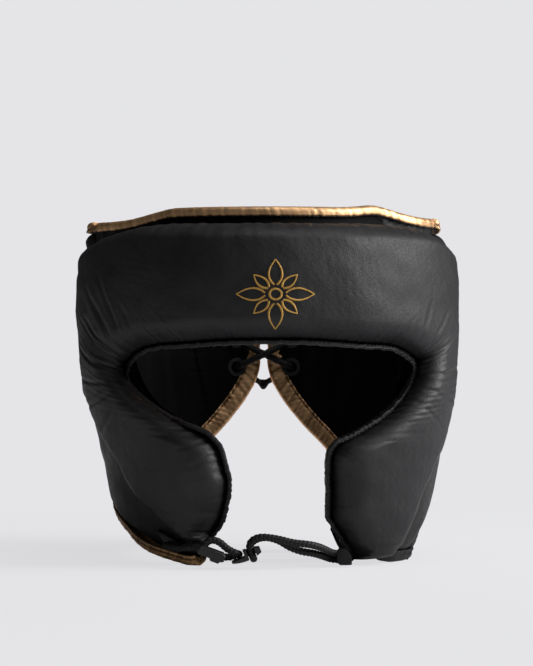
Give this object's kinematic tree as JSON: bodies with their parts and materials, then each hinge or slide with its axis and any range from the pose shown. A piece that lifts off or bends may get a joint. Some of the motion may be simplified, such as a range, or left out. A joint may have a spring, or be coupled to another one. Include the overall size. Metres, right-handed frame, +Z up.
{
  "type": "boxing headgear",
  "caption": "Padded head guard with an open face, cheek pads, bound edges, laced back wings and a cord chin closure.",
  "frame": {"origin": "middle of the footprint, on the surface that the headgear stands on", "axes": "+Z up, the face looks along -Y, the wearer's left is +X"},
  "size_m": [0.242, 0.2468, 0.2194],
  "materials": {
    "leather": "smooth fine grain, soft sheen",
    "foam": "closed-cell padding inside the leather",
    "lining": "matt lining leather",
    "binding": "bronze-gold metallic binding",
    "eyelet": "black enamel",
    "lace": "woven lace",
    "cord": "braided elastic cord",
    "plastic": "moulded, matt"
  },
  "bodies": {
    "shell": {"front_cover": "leather", "forehead_foam": "foam", "cheek_foam_right": "foam", "cheek_foam_left": "foam", "brow_lining": "lining", "cheek_lining_right": "lining", "cheek_lining_left": "lining", "top_binding_front": "binding", "side_panel_right": "leather", "side_foam_right": "foam", "side_lining_right": "lining", "top_binding_right": "binding", "lower_binding_right": "binding", "ear_ring_right": "leather", "ear_liner_right": "lining", "side_panel_left": "leather", "side_foam_left": "foam", "side_lining_left": "lining", "top_binding_left": "binding", "lower_binding_left": "binding", "ear_ring_left": "leather", "ear_liner_left": "lining", "back_lace": "lace", "lace_knot": "lace", "chin_tab_right": "leather", "chin_anchor_left": "leather", "chin_strap_cord": "cord", "chin_cord": "cord"},
    "wing_right": {"wing_cover_right": "leather", "wing_foam_right": "foam", "wing_lining_right": "lining", "wing_binding_right": "binding", "lace_eyelets_right": "eyelet"},
    "wing_left": {"wing_cover_left": "leather", "wing_foam_left": "foam", "wing_lining_left": "lining", "wing_binding_left": "binding", "lace_eyelets_left": "eyelet"},
    "adjuster": {"strap_adjuster": "plastic", "chin_loop_cord": "cord"},
    "hook": {"clasp_hook": "plastic"}
  },
  "joints": [
    {"name": "wing_left_hinge", "type": "hinge", "parent": "shell", "child": "wing_left", "pos_m": [0.1108, 0.0452, 0.12], "axis": [0, 0, -1], "range_deg": [0, 18], "deforming": ["back_lace", "lace_knot"]},
    {"name": "wing_right_hinge", "type": "hinge", "parent": "shell", "child": "wing_right", "pos_m": [-0.1108, 0.0452, 0.12], "axis": [0, 0, 1], "range_deg": [0, 18], "deforming": ["back_lace", "lace_knot"]},
    {"name": "adjuster_tilt", "type": "hinge", "parent": "shell", "child": "adjuster", "pos_m": [-0.046, -0.0905, 0.0127], "axis": [0, 1, 0], "range_deg": [-12, 25], "deforming": ["chin_strap_cord", "chin_loop_cord", "chin_cord"]},
    {"name": "hook_tilt", "type": "hinge", "parent": "adjuster", "child": "hook", "pos_m": [-0.0288, -0.0935, 0.008], "axis": [0, 1, 0], "range_deg": [-20, 25], "deforming": ["chin_loop_cord", "chin_cord"]}
  ]
}
